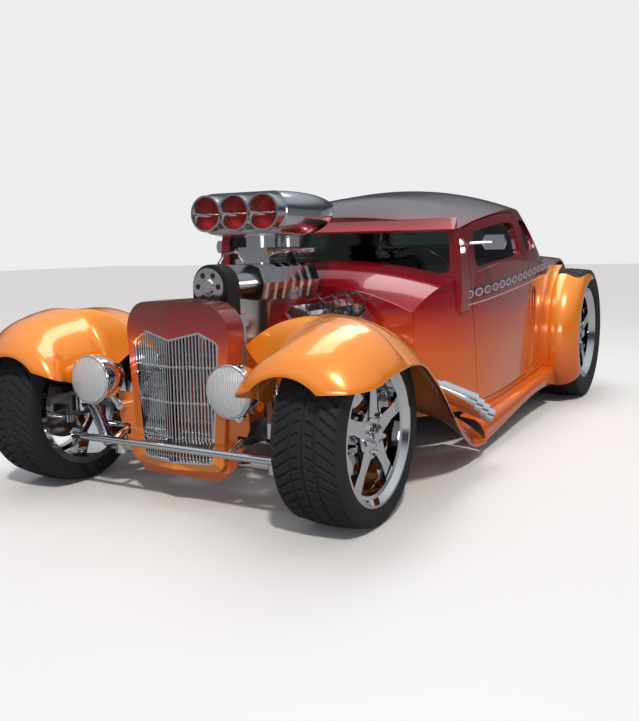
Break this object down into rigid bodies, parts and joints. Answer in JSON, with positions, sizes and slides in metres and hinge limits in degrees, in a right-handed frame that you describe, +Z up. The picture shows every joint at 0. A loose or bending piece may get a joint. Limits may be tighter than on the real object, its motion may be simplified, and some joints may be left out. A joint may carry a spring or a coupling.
{
  "type": "hot rod",
  "caption": "Hot rod coupe with open supercharged engine, wide scoop, side exhaust tips, spoked wheels that roll, and steering, doors and deck lid that move.",
  "frame": {"origin": "on the ground under the middle of the car's bounding box", "axes": "+X to the car's left, +Y to the rear, +Z up; the car faces -Y"},
  "size_m": [1.786, 3.616, 1.2229],
  "materials": {
    "body_red": "candy red lacquer",
    "roof_black": "black cherry lacquer",
    "fender_gold": "golden orange pearl lacquer",
    "chrome": "polished chrome",
    "polished_alloy": "polished",
    "frame_black": "gloss black",
    "tyre": "moulded",
    "glass": "tinted",
    "lens": "clear",
    "red_lens": "red",
    "leather": "stitched",
    "belt_rubber": "toothed",
    "steel": "machined"
  },
  "bodies": {
    "body": {"cowl": "body_red", "roof": "roof_black", "tail_panel": "body_red", "quarter_panels": "body_red", "firewall": "body_red", "floor_pan": "frame_black", "front_fender_left": "fender_gold", "front_fender_right": "fender_gold", "running_boards": "fender_gold", "rear_fenders": "fender_gold", "front_apron": "fender_gold", "grille_shell": "body_red", "grille_bars": "chrome", "radiator": "polished_alloy", "headlights": "chrome", "headlight_lenses": "lens", "frame_rails": "frame_black", "front_axle": "chrome", "front_shocks": "chrome", "rear_axle": "steel", "rear_links": "chrome", "driveshaft": "steel", "engine_block": "body_red", "valve_covers": "polished_alloy", "headers": "chrome", "exhaust_tips": "chrome", "blower": "polished_alloy", "blower_drive": "belt_rubber", "carburettors": "polished_alloy", "air_scoop": "polished_alloy", "seat": "leather", "dashboard": "body_red", "steering_wheel": "chrome", "window_glass": "glass", "fuel_filler": "chrome", "tail_lamps": "red_lens", "spreader_bar": "chrome"},
    "knuckle_l": {"knuckle_left": "steel"},
    "knuckle_r": {"knuckle_right": "steel"},
    "tie": {"tie_rod": "chrome"},
    "wheel_fl": {"front_wheel_left": "chrome", "front_tyre_left": "tyre"},
    "wheel_fr": {"front_wheel_right": "chrome", "front_tyre_right": "tyre"},
    "wheel_rl": {"rear_wheel_left": "chrome", "rear_tyre_left": "tyre"},
    "wheel_rr": {"rear_wheel_right": "chrome", "rear_tyre_right": "tyre"},
    "door_l": {"door_left": "body_red", "door_glass_left": "glass", "mirror_left": "chrome"},
    "door_r": {"door_right": "body_red", "door_glass_right": "glass", "mirror_right": "chrome"},
    "lid": {"deck_lid": "body_red"}
  },
  "joints": [
    {"name": "steer_left", "type": "hinge", "parent": "body", "child": "knuckle_l", "pos_m": [0.572, -1.478, 0.318], "axis": [0, 0, 1], "range_deg": [-20, 20]},
    {"name": "steer_right", "type": "hinge", "parent": "body", "child": "knuckle_r", "pos_m": [-0.572, -1.478, 0.318], "axis": [0, 0, 1], "range_deg": [-20, 20]},
    {"name": "tie_rod_pivot", "type": "hinge", "parent": "knuckle_l", "child": "tie", "pos_m": [0.572, -1.373, 0.215], "axis": [0, 0, 1], "range_deg": [-20, 20]},
    {"name": "spin_front_left", "type": "hinge", "parent": "knuckle_l", "child": "wheel_fl", "pos_m": [0.654, -1.478, 0.318], "axis": [1, 0, 0], "continuous": true},
    {"name": "spin_front_right", "type": "hinge", "parent": "knuckle_r", "child": "wheel_fr", "pos_m": [-0.654, -1.478, 0.318], "axis": [1, 0, 0], "continuous": true},
    {"name": "spin_rear_left", "type": "hinge", "parent": "body", "child": "wheel_rl", "pos_m": [0.722, 1.214, 0.385], "axis": [1, 0, 0], "continuous": true},
    {"name": "spin_rear_right", "type": "hinge", "parent": "body", "child": "wheel_rr", "pos_m": [-0.722, 1.214, 0.385], "axis": [1, 0, 0], "continuous": true},
    {"name": "door_left_hinge", "type": "hinge", "parent": "body", "child": "door_l", "pos_m": [0.696, -0.25856, 0.5], "axis": [0, 0.1318, -0.9913], "range_deg": [0, 60]},
    {"name": "door_right_hinge", "type": "hinge", "parent": "body", "child": "door_r", "pos_m": [-0.696, -0.25856, 0.5], "axis": [0, -0.1318, 0.9913], "range_deg": [0, 60]},
    {"name": "deck_lid_hinge", "type": "hinge", "parent": "body", "child": "lid", "pos_m": [0, 1.161, 0.884], "axis": [1, 0, 0], "range_deg": [0, 55]}
  ],
  "couplings": [
    {"joint": "steer_right", "follows": "steer_left", "ratio": 1},
    {"joint": "tie_rod_pivot", "follows": "steer_left", "ratio": -1}
  ]
}
